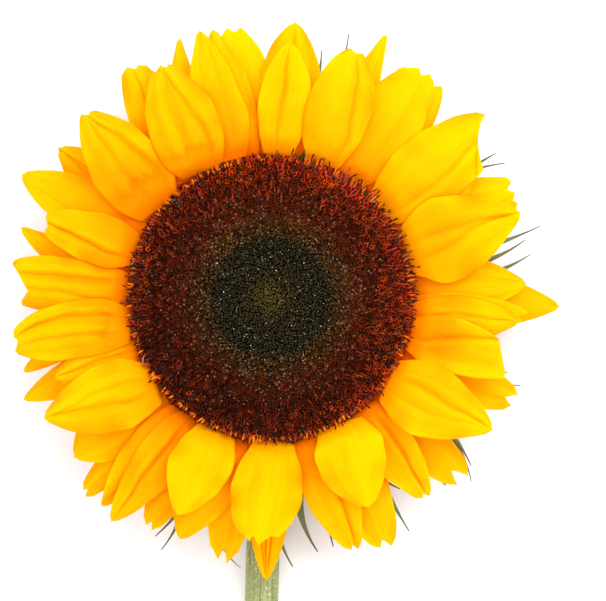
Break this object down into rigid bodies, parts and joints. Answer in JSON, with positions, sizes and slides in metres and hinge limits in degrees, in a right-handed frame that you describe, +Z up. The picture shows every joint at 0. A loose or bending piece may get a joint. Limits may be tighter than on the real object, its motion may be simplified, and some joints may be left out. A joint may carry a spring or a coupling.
{
  "type": "cut sunflower",
  "caption": "Cut sunflower lying on its back: a dark maroon disc ringed by layered yellow petals and green bracts, on a bent green stem that lies along the surface.",
  "frame": {"origin": "on the surface that the flower lies on, under the middle of its box", "axes": "+Z up out of the flower's face, +Y from the cut end of the stem towards the head, +X to the right seen from above"},
  "size_m": [0.1596, 0.402, 0.0475],
  "materials": {
    "petals": "satin",
    "bracts": "matte",
    "stem": "matte",
    "receptacle": "matte",
    "disc_florets": "matte",
    "disc_buds": "matte"
  },
  "bodies": {
    "root": {"stem": "stem", "receptacle": "receptacle", "disc_florets": "disc_florets", "disc_buds": "disc_buds", "petal_01": "petals", "petal_02": "petals", "petal_04": "petals", "petal_05": "petals", "petal_06": "petals", "petal_07": "petals", "petal_08": "petals", "petal_09": "petals", "petal_10": "petals", "petal_11": "petals", "petal_12": "petals", "petal_13": "petals", "petal_14": "petals", "petal_15": "petals", "petal_16": "petals", "petal_17": "petals", "petal_18": "petals", "petal_19": "petals", "petal_20": "petals", "petal_22": "petals", "petal_23": "petals", "petal_24": "petals", "petal_25": "petals", "petal_26": "petals", "petal_27": "petals", "petal_28": "petals", "petal_29": "petals", "petal_30": "petals", "petal_31": "petals", "petal_32": "petals", "petal_33": "petals", "petal_34": "petals", "petal_35": "petals", "petal_37": "petals", "petal_39": "petals", "petal_40": "petals", "petal_41": "petals", "petal_42": "petals", "petal_43": "petals", "petal_44": "petals", "petal_46": "petals", "petal_47": "petals", "petal_48": "petals", "petal_50": "petals", "bract_01": "bracts", "bract_02": "bracts", "bract_03": "bracts", "bract_04": "bracts", "bract_05": "bracts", "bract_06": "bracts", "bract_07": "bracts", "bract_08": "bracts", "bract_09": "bracts", "bract_10": "bracts", "bract_11": "bracts", "bract_12": "bracts"}
  },
  "joints": []
}
